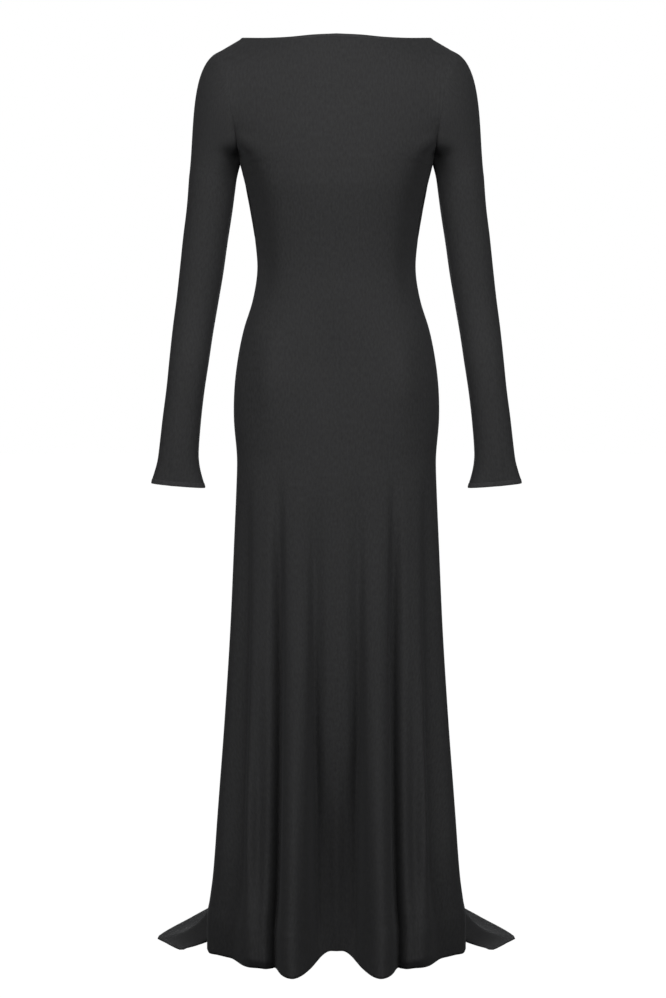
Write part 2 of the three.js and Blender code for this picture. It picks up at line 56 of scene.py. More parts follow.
def curve(keys, values, at):
    """A smooth curve through values, one for each of the rising keys."""
    at = np.clip(np.asarray(at, dtype=float), keys[0], keys[-1])
    values = np.asarray(values, dtype=float)
    if values.ndim == 1:
        values = values.reshape((-1,) + (1,) * at.ndim)
    values = np.broadcast_to(values, (len(keys),) + at.shape)
    steps = np.arange(len(keys))
    before, after = np.maximum(steps - 1, 0), np.minimum(steps + 1, len(keys) - 1)
    spans = (keys[after] - keys[before]).reshape((-1,) + (1,) * at.ndim)
    slopes = (values[after] - values[before]) / spans
    i = np.clip(np.searchsorted(keys, at, side="left") - 1, 0, len(keys) - 2)
    run = keys[i + 1] - keys[i]
    t = (at - keys[i]) / run

    def pick(stack, k):
        return np.take_along_axis(stack, k[None], axis=0)[0]

    start = pick(values, i)
    rise = pick(values, i + 1) - start
    lean = pick(slopes, i) * (1 - t) - pick(slopes, i + 1) * t
    return start + rise * t * t * (3 - 2 * t) + run * t * (1 - t) * lean


def smooth(sizes, key, column, at):
    """A column of a table, read smoothly between its rows."""
    return curve(sizes[key], sizes[column], at)


def mix(a, b, t):
    return a + (b - a) * t


def ease(t):
    t = np.clip(t, 0, 1)
    return t * t * (3 - 2 * t)


BODY = table(
    "height half front back",
    (0, 209, 118, 172), (60, 208.5, 118, 168), (82, 204.5, 117, 166), (131, 198, 116, 160),
    (229, 189.5, 114, 146), (376, 178, 111, 132), (521, 168.5, 108, 123), (665, 162, 105, 119),
    (761, 158, 103, 121), (800, 157.5, 102, 124), (856, 162, 101, 127), (904, 161.3, 100, 122),
    (951, 156, 97, 111), (998, 146.5, 94, 98), (1045, 132, 90, 88), (1092, 124.7, 89, 84),
    (1139, 128, 94, 88), (1186, 135, 102, 94), (1220, 142, 107, 98), (1256, 151, 107, 100),
)
FLATNESS = table(
    "height power", (0, 3), (760, 3), (900, 2.8), (1000, 2.5), (1060, 2.2), (1256, 2.2),
)
# A line of cloth s runs down the front, from 0 at its centre to 1 at the side seam. Its lane is
# where round the body it runs, in degrees. Its folds are how far it stands out, or in below 0.
FRONT_LANES = table(
    "s hip hem",
    (0, 0, 0), (0.14, 10.1, 7.8), (0.28, 20.8, 15.5), (0.42, 32.7, 25.1),
    (0.58, 45.5, 35.5), (0.75, 62, 49), (0.88, 76, 68), (1, 90, 90),
)
FOLD_TOP = 790.0
FOLD_HEIGHTS = np.array([0, 180, 380, 620, FOLD_TOP])
FRONT_FOLDS = table(
    "s thigh knee shin hem",
    (0, -1, -10, -42, -46), (0.065, -2, -13, -46, -50), (0.14, -7, -20, -36, -34),
    (0.2, 0, 4, 10, 12), (0.28, 4, 15, 31, 38), (0.36, 1, 6, 15, 26), (0.42, -9, -17, -19, -8),
    (0.49, 1, 1, 3, 1), (0.58, 2, 3, 0, -7), (0.66, 1, 3, 2, -16), (0.75, -6, -10, -12, -29),
    (0.88, 1, 2, 1, -14), (1, 0, 0, 0, 0),
)
# Where each line meets the floor, how high its edge is lifted and how far that is tucked back.
FRONT_HEM = table(
    "s x y lift tuck",
    (0, 0, -75, 20, 0), (0.065, 11, -75, 20, 0), (0.1, 17.5, -77, 17.5, 0),
    (0.14, 24, -84, 13.5, 0), (0.17, 31, -96, 8, 0), (0.21, 42.2, -118, 3, 0),
    (0.25, 54, -143, 1, 0), (0.3, 66, -155.5, 0, 0), (0.345, 77, -151, 0, 0),
    (0.385, 87, -132, 0, 0), (0.42, 95.5, -99, 0, 0),
    (0.455, 101, -101, 0, 5), (0.51, 113, -108.5, 0, 13), (0.58, 130, -103, 0, 13),
    (0.66, 147, -86, 0, 6), (0.75, 165, -50, 0, 0), (0.82, 177, -39, 0, 0),
    (0.88, 190.6, -28, 0, 0), (0.945, 204, -18, 0, 0), (1, 209, 0, 2, 0),
)
HEM_REACH = 180.0  # below this height the cloth is drawn to its hem line
HEM_DRAW = 1.6  # how late the falling cloth comes to its hem line
LIFT_REACH = 60.0
TUCK_HEIGHT = 15.0
TUCK_FADE = 1.5  # how many times HEM_REACH the tuck goes up
YOKE_CENTRE = table(
    "r height front back",
    (0, 1256, 107, 100), (0.33, 1321, 101, 103), (0.66, 1387, 89, 93), (1, 1449.5, 75, 62),
)
# The neck line, by the share of the way out from its centre to the neck point.
NECK_LINE = table(
    "share height front back",
    (0, 1449.5, 75, 62), (0.25, 1448.5, 70, 58), (0.5, 1447, 56, 46.5),
    (0.75, 1448.5, 33, 27), (1, 1453, 0, 0),
)
NECK_HALF_WIDTH = 146.0
SHOULDER_HALF_WIDTH = 184.0
SHOULDER_TIP_HEIGHT = 1431.0
NECK_BLEND = 6  # the more, the nearer to its top edge the sheet starts to bend to it
ARMHOLE = {"front_reach": 58.0, "back_reach": 62.0, "front_width": 163.0, "back_width": 168.0}


def fold_offset(folds, s, height):
    """How far the flutes push the line of cloth s outwards at a height."""
    levels = [smooth(folds, "s", level, s) for level in ("hem", "shin", "knee", "thigh")]
    out = curve(FOLD_HEIGHTS, np.stack(levels + [np.zeros_like(s)]), height)
    return np.where(height >= FOLD_TOP, 0, out)


def lane_angle(lanes, s, height):
    """Where round the body the line of cloth s runs: 0 at the centre, a quarter turn at the side."""
    down = np.clip(1 - height / FOLD_TOP, 0, 1)
    return np.radians(mix(smooth(lanes, "s", "hip", s), smooth(lanes, "s", "hem", s), down))


def tube_point(panel, s, height):
    """Where the line of cloth s of a panel is at a height of the body tube, folds included."""
    half = smooth(BODY, "height", "half", height)
    depth = smooth(BODY, "height", panel["depth"], height)
    angle = lane_angle(panel["lanes"], s, height)
    across, along = np.sin(angle), np.maximum(0, np.cos(angle))
    turn = 2 - 2 / SECTION_POWER
    out = np.stack([across**turn / half, along**turn / depth], axis=-1)
    out /= np.linalg.norm(out, axis=-1, keepdims=True)
    fold = fold_offset(panel["folds"], s, height)
    x = half * across ** (2 / SECTION_POWER) + out[..., 0] * fold
    flatness = smooth(FLATNESS, "height", "power", height)
    y = panel["sign"] * (depth * along ** (2 / flatness) + out[..., 1] * fold)
    return np.stack([x, y, height], axis=-1)


def armhole_point(turn):
    """The armhole: 0 is the shoulder tip, pi the underarm, the front between, then the back."""
    up, front = np.cos(turn), np.sin(turn) >= 0
    under = smooth(BODY, "height", "half", UNDERARM_HEIGHT)
    middle = np.where(front, ARMHOLE["front_width"], ARMHOLE["back_width"])
    reach = np.where(front, ARMHOLE["front_reach"], ARMHOLE["back_reach"])
    swing = (SHOULDER_HALF_WIDTH - under) / 2
    x = middle + swing * up + ((SHOULDER_HALF_WIDTH + under) / 2 - middle) * up * up
    rise = (SHOULDER_TIP_HEIGHT - UNDERARM_HEIGHT) / 2
    return np.stack([x, -reach * np.sin(turn), UNDERARM_HEIGHT + rise * (1 + up)], axis=-1)


def yoke_sheet(panel, angle, r):
    """A point of the rounded sheet over chest or back, before its top edge is shaped."""
    height = smooth(YOKE_CENTRE, "r", "height", r)
    depth = panel["sign"] * smooth(YOKE_CENTRE, "r", panel["depth"], r)
    edge = armhole_point(np.pi * (1 + panel["sign"] * r))
    across = np.sin(angle) ** (2 / mix(SECTION_POWER, 2, ease(2 * r)))
    inward = np.maximum(0, np.cos(angle)) ** (2 / mix(SECTION_POWER, 1, ease(2 * r)))
    x = edge[..., 0] * across
    y = mix(edge[..., 1], depth, inward)
    z = mix(height, edge[..., 2], across**2)
    return np.stack([x, y, z], axis=-1)


def yoke_point(panel, s, r):
    """A point above the underarm: r is 0 there and 1 at the neck line and the shoulder seam."""
    angle = lane_angle(panel["lanes"], s, FOLD_TOP + 0 * s)
    point, highest = yoke_sheet(panel, angle, r), yoke_sheet(panel, angle, 1 + 0 * r)
    across = highest[..., 0] / SHOULDER_HALF_WIDTH
    neck_share = NECK_HALF_WIDTH / SHOULDER_HALF_WIDTH
    share = np.minimum(1, across / neck_share)
    down = np.clip((across - neck_share) / (1 - neck_share), 0, 1)
    top_y = panel["sign"] * smooth(NECK_LINE, "share", panel["depth"], share)
    top_height = mix(smooth(NECK_LINE, "share", "height", share), SHOULDER_TIP_HEIGHT, down)
    point[..., 1] += (top_y - highest[..., 1]) * r**NECK_BLEND
    point[..., 2] += (top_height - highest[..., 2]) * r**NECK_BLEND
    return point


LINE_SAMPLES = 400


def neck_point_line(panel):
    """The line of cloth of a panel that ends on the neck point."""
    s = np.linspace(0, 1, LINE_SAMPLES)
    angle = lane_angle(panel["lanes"], s, FOLD_TOP + 0 * s)
    return np.interp(NECK_HALF_WIDTH / SHOULDER_HALF_WIDTH, np.sin(angle), s)


def cloth_lines(panel, count):
    """The lines of cloth of one half, from the centre to the side, with one on the neck point."""
    neck = neck_point_line(panel)
    return np.interp(np.arange(count + 1), [0, round(neck * count), count], [0, neck, 1])


def both_halves(half):
    """The rows of a panel from its -X side to its +X side, out of the rows of its +X half."""
    return np.concatenate([half[:, :0:-1] * (-1, 1, 1), half], axis=1)


def lengths(points, axis):
    """How far each point lies along its row (axis 1) or its column (axis 0), in millimetres."""
    steps = np.linalg.norm(np.diff(points, axis=axis), axis=-1)
    return np.insert(np.cumsum(steps, axis=axis), 0, 0, axis=axis)


def cloth(name, points, turned, from_hem, from_seam, thickness=CLOTH, ring=False):
    """A shell of cloth through rows of points, with its place on the flat cut as its UV map."""
    rows, columns = points.shape[:2]
    across = lengths(points, 1)
    across -= across[:, columns // 2 : columns // 2 + 1]
    along = -lengths(points, 0)[:, columns // 2]
    bm = bmesh.new()
    bmesh.ops.create_grid(bm, x_segments=columns - 1, y_segments=rows - 1, size=1)
    uv = bm.loops.layers.uv.new("cut")
    hem, seam = (bm.verts.layers.float.new(layer) for layer in ("from_hem", "from_seam"))
    place = {}
    for v in bm.verts:
        i = round((1 - v.co.y) / 2 * (rows - 1))
        j = round((v.co.x + 1) / 2 * (columns - 1))
        place[v] = (i, j)
        v[hem], v[seam] = from_hem[i, j], from_seam[i, j]
    for face in bm.faces:
        for loop in face.loops:
            i, j = place[loop.vert]
            loop[uv].uv = (across[i, j] / 1000, along[i] / 1000)
    for v, (i, j) in place.items():
        x, y, z = points[i, j]
        v.co = (x / 1000, y / 1000, (z - NECK_POINT_HEIGHT) / 1000)
    if ring:
        bmesh.ops.remove_doubles(bm, verts=bm.verts, dist=1e-6)
    if turned:
        bmesh.ops.reverse_faces(bm, faces=bm.faces)
    for face in bm.faces:
        face.smooth = True
    mesh = bpy.data.meshes.new(name)
    bm.to_mesh(mesh)
    bm.free()
    piece = bpy.data.objects.new(name, mesh)
    bpy.context.scene.collection.objects.link(piece)
    if thickness:
        wall = piece.modifiers.new("thickness of the cloth", "SOLIDIFY")
        wall.thickness = thickness / 1000
        wall.offset = -1
    return piece


def front_point(s, height):
    """A point of the front below the underarm, drawn to the hem line near the floor."""
    point = tube_point(FRONT, s, height)
    free = tube_point(FRONT, s, 0 * height)
    draw = np.clip(1 - height / HEM_REACH, 0, 1) ** HEM_DRAW
    point[..., 0] += (smooth(FRONT_HEM, "s", "x", s) - free[..., 0]) * draw
    point[..., 1] += (smooth(FRONT_HEM, "s", "y", s) - free[..., 1]) * draw
    tuck = smooth(FRONT_HEM, "s", "tuck", s) * np.clip(height / TUCK_HEIGHT, 0, 1)
    point[..., 1] -= tuck * np.clip(TUCK_FADE - height / HEM_REACH, 0, 1) ** 2
    lift = smooth(FRONT_HEM, "s", "lift", s)
    point[..., 2] += lift * np.clip(1 - height / LIFT_REACH, 0, 1)
    return point


def trough(distance, width):
    """1 in the middle of a line, falling softly to 0 on both sides."""
    return np.exp(-((distance / width) ** 2))


SIDE_SEAM_FADE = 25.0


def soft_line(points, line):
    """Presses the cloth in, or out where depth is below 0, along a line on each side."""
    x, y, z = np.abs(points[..., 0]), points[..., 1], points[..., 2]
    at = {column: smooth(line, "height", column, z) for column in ("x", "depth", "width")}
    press = at["depth"] * trough(x - at["x"], at["width"]) * ease(np.abs(y) / SIDE_SEAM_FADE)
    points[..., 1] = y - np.sign(y) * press


ARMPIT_FOLD = {"height": 1281.0, "fall": 0.35, "falls_inside": 150.0, "edge": 12.0}
ARMPIT_HOLLOW = {"x": 155.0, "width": 16.0, "share": 0.62, "foot": 1180.0, "foot_fade": 70.0}
ARMPIT_ROLL = {"x": 146.0, "width": 22.0, "share": 0.05, "above_fold": 9.0, "height": 9.0}


def draw_into_armpit(points):
    """Draws the cloth back below a small fold at the armpit, the same on body and sleeve."""
    x, y, z = np.abs(points[..., 0]), points[..., 1], points[..., 2]
    hollow, roll = ARMPIT_HOLLOW, ARMPIT_ROLL
    inside = np.maximum(0, ARMPIT_FOLD["falls_inside"] - x)
    fold = ARMPIT_FOLD["height"] - ARMPIT_FOLD["fall"] * inside
    under = ease((fold - z) / ARMPIT_FOLD["edge"])
    under = under * ease((z - hollow["foot"]) / hollow["foot_fade"])
    drawn = hollow["share"] * under * trough(x - hollow["x"], hollow["width"])
    over = trough(z - fold - roll["above_fold"], roll["height"])
    over = over * trough(x - roll["x"], roll["width"])
    points[..., 1] = y * (1 - drawn + roll["share"] * over)


ARMHOLE_FILL = {
    "rise": 5.0, "spread": 14.0, "foot": 1270.0, "foot_fade": 70.0,
    "tip_fade": 50.0, "side_fade": 30.0,
}


def fill_armhole(points):
    """Draws the cloth out along the armhole, so that body and sleeve meet in a soft hollow."""
    x, y, z = np.abs(points[..., 0]), points[..., 1], points[..., 2]
    fill = ARMHOLE_FILL
    up = np.clip((z - UNDERARM_HEIGHT) / ((SHOULDER_TIP_HEIGHT - UNDERARM_HEIGHT) / 2) - 1, -1, 1)
    away = x - armhole_point(np.arccos(up) * np.where(y < 0, 1, -1))[..., 0]
    rise = fill["rise"] * np.exp(-np.abs(away) / fill["spread"])
    rise = rise * ease((z - fill["foot"]) / fill["foot_fade"])
    rise = rise * ease((SHOULDER_TIP_HEIGHT - z) / fill["tip_fade"])
    points[..., 1] = y + np.sign(y) * rise * ease(np.abs(y) / fill["side_fade"])


# Lines of soft relief, the same on each side: x is how far out from the centre a line runs, depth
# how far it is pressed in, and width how far it reaches to each side.
FLANK = table(
    "height x depth width",
    (1030, 120, 0, 12), (1070, 113, 8, 13), (1110, 115, 16, 15), (1150, 122, 22, 18),
    (1190, 130, 24, 21), (1235, 139, 16, 20), (1262, 146, 0, 16),
)
HIP_BONE = table(
    "height x depth width",
    (800, 106, 0, 30), (860, 106, -5, 30), (915, 106, -10, 28), (960, 104, -7, 26),
    (1005, 100, 0, 24),
)
BELLY = table(
    "height x depth width",
    (760, 0, 0, 60), (840, 0, 3, 60), (910, 0, 7, 58), (970, 0, 6, 56), (1045, 0, 0, 55),
)
CENTRE_RISE = table(
    "height x depth width", (830, 0, 0, 6), (880, 0, -1.5, 6), (1000, 0, -1.8, 6), (1080, 0, 0, 6),
)
OUTER_FOLD = table(
    "height x depth width",
    (0, 94, 0, 7), (109, 92, 1, 7), (268, 91, 2.5, 7), (425, 91, 5, 7), (560, 91, 6, 7),
    (640, 91, 4, 7), (700, 91, 1.5, 7), (760, 91, 0, 7),
)
INNER_FOLD = table(
    "height x depth width",
    (0, 30, 3, 6), (60, 32, 11, 7), (109, 34, 13, 7), (268, 35, 11, 7), (425, 36, 8, 7),
    (560, 36, 4.5, 7), (640, 36, 2.5, 7), (720, 36, 0, 7),
)
SIDE_FOLD = table(
    "height x depth width",
    (0, 122, 7, 13), (150, 120, 12, 13), (280, 119, 10, 13), (377, 119, 5, 13), (480, 119, 0, 13),
)
FRONT = {"sign": -1, "depth": "front", "lanes": FRONT_LANES, "folds": FRONT_FOLDS}
FRONT_LINES = 88
YOKE_ROWS, ARMPIT_ROWS, BODY_ROWS, FOOT_ROWS = 52, 19, 150, 27
ARMPIT_FOOT = 1190.0
SKIRT_FOOT = 131.0  # below this the back sweeps out into the train
BODY_HEIGHTS = np.concatenate([
    np.linspace(UNDERARM_HEIGHT, ARMPIT_FOOT, ARMPIT_ROWS)[1:],
    np.linspace(ARMPIT_FOOT, SKIRT_FOOT, BODY_ROWS)[1:-1],
    np.linspace(SKIRT_FOOT, 0, FOOT_ROWS),
])

lines = cloth_lines(FRONT, FRONT_LINES)
r, s = np.meshgrid(np.linspace(1, 0, YOKE_ROWS + 1), lines, indexing="ij")
yoke = yoke_point(FRONT, s, r)
height, s = np.meshgrid(BODY_HEIGHTS, lines, indexing="ij")
front_half = np.concatenate([yoke, front_point(s, height)])
front_points = both_halves(front_half)
for line in (FLANK, HIP_BONE, BELLY, CENTRE_RISE, OUTER_FOLD, INNER_FOLD, SIDE_FOLD):
    soft_line(front_points, line)
draw_into_armpit(front_points)
fill_armhole(front_points)


def edge_distances(points):
    """How far each point is from the hem and from the nearest sewn edge, along the cloth."""
    down = lengths(points, 0)
    row = lengths(points, 1)
    side = np.minimum(row, row[:, -1:] - row)
    return (down[-1] - down) / 1000, np.minimum(side, down) / 1000


front_hem, front_seam = edge_distances(front_points)
front = cloth("front_panel", front_points, False, front_hem, front_seam)


class Shade:
    """A value in a material's nodes. Sums, products and quotients of it add their own nodes."""

    def __init__(self, tree, socket=None):
        self.tree = tree
        self.socket = socket

    def node(self, kind, settings=None, inputs=None, output=0):
        made = self.tree.nodes.new(kind)
        for name, value in (settings or {}).items():
            setattr(made, name, value)
        for name, value in (inputs or {}).items():
            if isinstance(value, Shade):
                self.tree.links.new(value.socket, made.inputs[name])
            else:
                made.inputs[name].default_value = value
        return Shade(self.tree, made.outputs[output] if made.outputs else None)

    def beside(self, output):
        """Another output of the node that this value comes from."""
        return Shade(self.tree, self.socket.node.outputs[output])

    def math(self, operation, *values):
        return self.node("ShaderNodeMath", {"operation": operation}, dict(enumerate(values)))

    def __add__(self, other):
        return self.math("ADD", self, other)

    def __sub__(self, other):
        return self.math("SUBTRACT", self, other)

    def __rsub__(self, other):
        return self.math("SUBTRACT", other, self)

    def __mul__(self, other):
        return self.math("MULTIPLY", self, other)

    def __truediv__(self, other):
        return self.math("DIVIDE", self, other)

    def __rtruediv__(self, other):
        return self.math("DIVIDE", other, self)

    def __abs__(self):
        return self.math("ABSOLUTE", self)

    __radd__ = __add__
    __rmul__ = __mul__

    def wave(self):
        return self.math("SINE", self * math.tau)

    def fraction(self):
        return self.math("FRACT", self)

    def band(self, middle, half_width):
        """1 on a line where this value is middle, falling to 0 at half_width to each side."""
        return self.math("MAXIMUM", 1 - abs(self - middle) / half_width, 0.0)


# The knit's sizes are in metres on the cut. A fleck and a patch have a width and a length.
JERSEY = (0.0285, 0.0285, 0.0295)
WALE = 0.0011
COURSE = 0.0009
HEATHER_FLECK = (0.0031, 0.008)
YARN_FLECK = (0.0009, 0.004)
WASH_PATCH = (0.09, 0.16)
PRESSED_WIDTH = 0.0018
HEM_STITCH_ROWS = (0.0165, 0.0205)
STITCH_WIDTH = 0.0006
STITCH_STEP = 0.0034
COLOUR_A, COLOUR_B, MIXED_COLOUR = 6, 7, 2  # a Mix node's sockets for colours


def jersey(name, colour, hem_stitches=True):
    """Matte black single jersey: fine vertical wales, a faint heather, and pressed seams."""
    material = bpy.data.materials.new(name)
    material.use_nodes = True
    tree = material.node_tree
    tree.nodes.clear()
    ground = Shade(tree)
    cut = ground.node("ShaderNodeUVMap", {"uv_map": "cut"})
    across = ground.node("ShaderNodeSeparateXYZ", inputs={"Vector": cut})
    along = across.beside(1)
    seam = ground.node("ShaderNodeAttribute", {"attribute_name": "from_seam"}, output=2)
    hem = ground.node("ShaderNodeAttribute", {"attribute_name": "from_hem"}, output=2)

    def speckle(width, length, detail):
        place = {"X": across / width, "Y": along / length}
        return ground.node(
            "ShaderNodeTexNoise",
            {"noise_dimensions": "2D"},
            {
                "Vector": ground.node("ShaderNodeCombineXYZ", inputs=place),
                "Scale": 1.0,
                "Detail": detail,
                "Roughness": 0.55,
            },
        )

    vee = abs((across / WALE).fraction() - 0.5) * 2
    loop = (along / COURSE + vee * 0.35).wave()
    knit = (1 - vee * vee) * (0.75 + loop * 0.25)
    heather = speckle(*HEATHER_FLECK, 1.5)
    yarn = speckle(*YARN_FLECK, 2.0)
    wash = speckle(*WASH_PATCH, 2.0)
    pressed = seam.band(0.0, PRESSED_WIDTH)
    tone = 0.37 + heather * 0.78 + yarn * 0.38 + wash * 0.12 - pressed * 0.03
    stitches = 0.0
    if hem_stitches:
        dash = (across / STITCH_STEP).fraction().band(0.5, 0.5)
        lower, upper = (hem.band(row, STITCH_WIDTH) for row in HEM_STITCH_ROWS)
        stitches = (lower + upper) * dash
    grey = ground.node("ShaderNodeCombineXYZ", inputs={"X": tone, "Y": tone, "Z": tone})
    shade = ground.node(
        "ShaderNodeMix",
        {"data_type": "RGBA", "blend_type": "MULTIPLY"},
        {"Factor": 1.0, COLOUR_A: (*colour, 1), COLOUR_B: grey},
        output=MIXED_COLOUR,
    )
    relief = knit * 0.35 + heather * 0.3 - pressed * 0.1 + stitches * 0.9
    bump = ground.node(
        "ShaderNodeBump", inputs={"Strength": 0.6, "Distance": 0.00035, "Height": relief}
    )
    surface = ground.node(
        "ShaderNodeBsdfPrincipled",
        inputs={
            "Base Color": shade,
            "Roughness": 0.74 + heather * 0.16,
            "Normal": bump,
            "Specular IOR Level": 0.3,
            "Sheen Weight": 0.08,
            "Sheen Roughness": 0.45,
            "Sheen Tint": (0.75, 0.77, 0.8, 1),
        },
    )
    ground.node("ShaderNodeOutputMaterial", inputs={"Surface": surface})
    return material


body_jersey = jersey("body_jersey", JERSEY)
front.data.materials.append(body_jersey)
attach(front, "root")
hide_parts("front")

# The back: one piece of the same jersey from neck to train, sewn to the front at the sides. It is
# smooth to the thigh, falls in narrower flutes, and turns out over the floor into a rounded train
# whose two corners stand out beside the skirt.

BACK_LANES = table("s hip hem", (0, 0, 0), (0.5, 45, 45), (1, 90, 90))
BACK_FOLDS = table(
    "s thigh knee shin hem",
    (0, -2, -8, -15, -18), (0.1, 3, 10, 18, 22), (0.22, -4, -13, -20, -22), (0.34, 3, 10, 17, 22),
    (0.46, -4, -11, -16, -18), (0.58, 3, 8, 12, 15), (0.7, -3, -8, -11, -12), (0.79, 2, 4, 7, 9),
    (0.9, -3, -6, -10, -12), (1, 0, 0, 0, 0),
)
TRAIN_HEM = table(
    "s x y ridge",
    (0, 0, 440, 0), (0.1, 46, 437, 9), (0.22, 98, 420, 0), (0.34, 147, 385, 10),
    (0.46, 184, 333, 0), (0.58, 213, 268, 8), (0.7, 247, 190, 0), (0.79, 294.5, 72, 9),
    (0.82, 280, 42, 9), (0.85, 265, 17, 5), (0.88, 250, 0, 1), (0.92, 227, 26, 0),
    (0.96, 204, 62, 0), (1, 209, 0, 0),
)
SWEEP_DROP = 0.85  # the share of its height that the foot falls before it turns out
SWEEP_TURN = 50.0  # how far out over the floor the turn reaches, at most
SWEEP_TURN_SHARE = 0.3  # and at most this share of the way to the hem
SEAM_BLEND = 0.93  # the line of cloth from which the back is drawn to the side seam
BACK_LINES = 80
TRAIN_ROWS = 56
SIDE_SEAM_HEIGHTS = np.array([SKIRT_FOOT, 108, 84, 62, 42, 28, 15, 0])
BACK = {"sign": 1, "depth": "back", "lanes": BACK_LANES, "folds": BACK_FOLDS}


def sweep_point(s, t, seam_height):
    """The back's foot: t runs from 0 on the skirt out to 1 at the train's hem."""
    start = tube_point(BACK, s, SKIRT_FOOT + 0 * s)
    hem_x, hem_y = (smooth(TRAIN_HEM, "s", column, s) for column in ("x", "y"))
    end = np.stack([hem_x, hem_y, CLOTH + 0 * s], axis=-1)
    out = (end - start) * (1, 1, 0)
    reach = np.linalg.norm(out, axis=-1, keepdims=True)
    turn = out / np.maximum(reach, 1e-6) * np.minimum(SWEEP_TURN, reach * SWEEP_TURN_SHARE)
    low = start * (1, 1, 0) + np.array([0, 0, SKIRT_FOOT * (1 - SWEEP_DROP)])
    bend = start * (1, 1, 0) + turn + np.array([0, 0, CLOTH])
    gone = t[..., None]
    left = 1 - gone
    point = start * left**3 + low * 3 * gone * left**2 + bend * 3 * gone**2 * left + end * gone**3
    point[..., 2] += smooth(TRAIN_HEM, "s", "ridge", s) * np.sin(np.pi * t) ** 2
    seam = front_point(1 + 0 * s, seam_height)
    return mix(point, seam, ease((s - SEAM_BLEND) / (1 - SEAM_BLEND))[..., None])


lines = cloth_lines(BACK, BACK_LINES)
r, s = np.meshgrid(np.linspace(1, 0, YOKE_ROWS + 1), lines, indexing="ij")
yoke = yoke_point(BACK, s, r)
heights = np.linspace(UNDERARM_HEIGHT, SKIRT_FOOT, BODY_ROWS + 1)[1:]
height, s = np.meshgrid(heights, lines, indexing="ij")
skirt = tube_point(BACK, s, height)
t, s = np.meshgrid(np.linspace(0, 1, TRAIN_ROWS)[1:], lines, indexing="ij")
seam_height = np.interp(t, np.linspace(0, 1, len(SIDE_SEAM_HEIGHTS)), SIDE_SEAM_HEIGHTS)
back_half = np.concatenate([yoke, skirt, sweep_point(s, t, seam_height)])
back_points = both_halves(back_half)
soft_line(back_points, FLANK)
draw_into_armpit(back_points)
fill_armhole(back_points)
back_hem, back_seam = edge_distances(back_points)
back = cloth("back_panel", back_points, True, back_hem, back_seam)
back.data.materials.append(body_jersey)
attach(back, "root")
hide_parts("back")

# The sleeves: long, close and set in, each one piece of jersey closed by a seam under the arm. They
# bend a little at the elbow and flare over the last few centimetres.

CAP_END = 1233.0
SLEEVE_END = 757.0
SLEEVE = table(
    "height x y width depth lean",
    (755, 248.2, -39, 42.5, 24, 0.085), (763, 248.4, -38, 40.5, 24.5, 0.09),
    (775, 248.3, -36.5, 36.8, 25.5, 0.1), (790, 248, -34.5, 33.2, 27, 0.11),
    (809, 247.4, -32, 31.2, 28.5, 0.125), (856, 243.2, -26, 30.2, 31, 0.139),
    (904, 237.5, -21, 29.8, 33, 0.139), (951, 231.8, -14, 31, 35, 0.139),
    (998, 226.3, -1, 32, 37, 0.139), (1045, 219.5, 7, 33, 38.5, 0.139),
    (1092, 212.8, 9, 34.4, 40, 0.139), (1139, 206.8, 9, 35.2, 41, 0.139),
    (1186, 200, 8, 35.9, 42.5, 0.139), (1233, 194.6, 6, 37.3, 44, 0.139),
)
CUFF_FLUTE = table(
    "height x depth width",
    (757, 256, -2, 5), (790, 254, -2, 5), (830, 251, -1, 5), (865, 248, 0, 5),
)
SLEEVE_ROUNDNESS = 0.8  # 1 is an ellipse, less is squarer
SLEEVE_LINES, CAP_ROWS, SLEEVE_ROWS = 65, 31, 73
CAP_OUTWARD = (62, 65, 13)
CAP_FORWARD = -15
CAP_DOWNWARD = (-75, -12.5, 27.5)
CAP_ARRIVAL = (110, 85, 5)
NO_HEM = 1.0  # added to a distance from the hem, keeps the hem stitches off


def sleeve_ring(turn, height):
    """A point of the sleeve, turning from its outer side through its front."""
    columns = ("x", "y", "width", "depth", "lean")
    at = {column: smooth(SLEEVE, "height", column, height) for column in columns}
    width = at["width"] * np.cos(turn)
    x = at["x"] + width * np.cos(np.arctan(at["lean"]))
    forward = np.sign(np.sin(turn)) * np.abs(np.sin(turn)) ** SLEEVE_ROUNDNESS
    return np.stack([x, at["y"] - at["depth"] * forward, height + width * at["lean"]], axis=-1)


def by_side(amounts, up):
    """An amount that changes round the cap: up is 1 at the shoulder tip and -1 at the underarm."""
    middle, slope, bow = amounts
    return middle + slope * up + bow * up**2


def cap_point(turn, t):
    """The sleeve cap: t runs from 0 at the armhole to 1 where the full sleeve starts."""
    up = np.cos(turn)
    start, end = armhole_point(turn), sleeve_ring(turn, CAP_END + 0 * turn)
    outward, downward = by_side(CAP_OUTWARD, up), by_side(CAP_DOWNWARD, up)
    leave = np.stack([outward, CAP_FORWARD * np.sin(turn), downward], axis=-1)
    lean = smooth(SLEEVE, "height", "lean", CAP_END)
    arrive = np.array([lean, 0, -1]) * by_side(CAP_ARRIVAL, up)[..., None]
    t = t[..., None]
    rest = 1 - t
    point = start * rest**2 * (1 + 2 * t) + end * t * t * (3 - 2 * t)
    return point + leave * t * rest**2 - arrive * t * t * rest


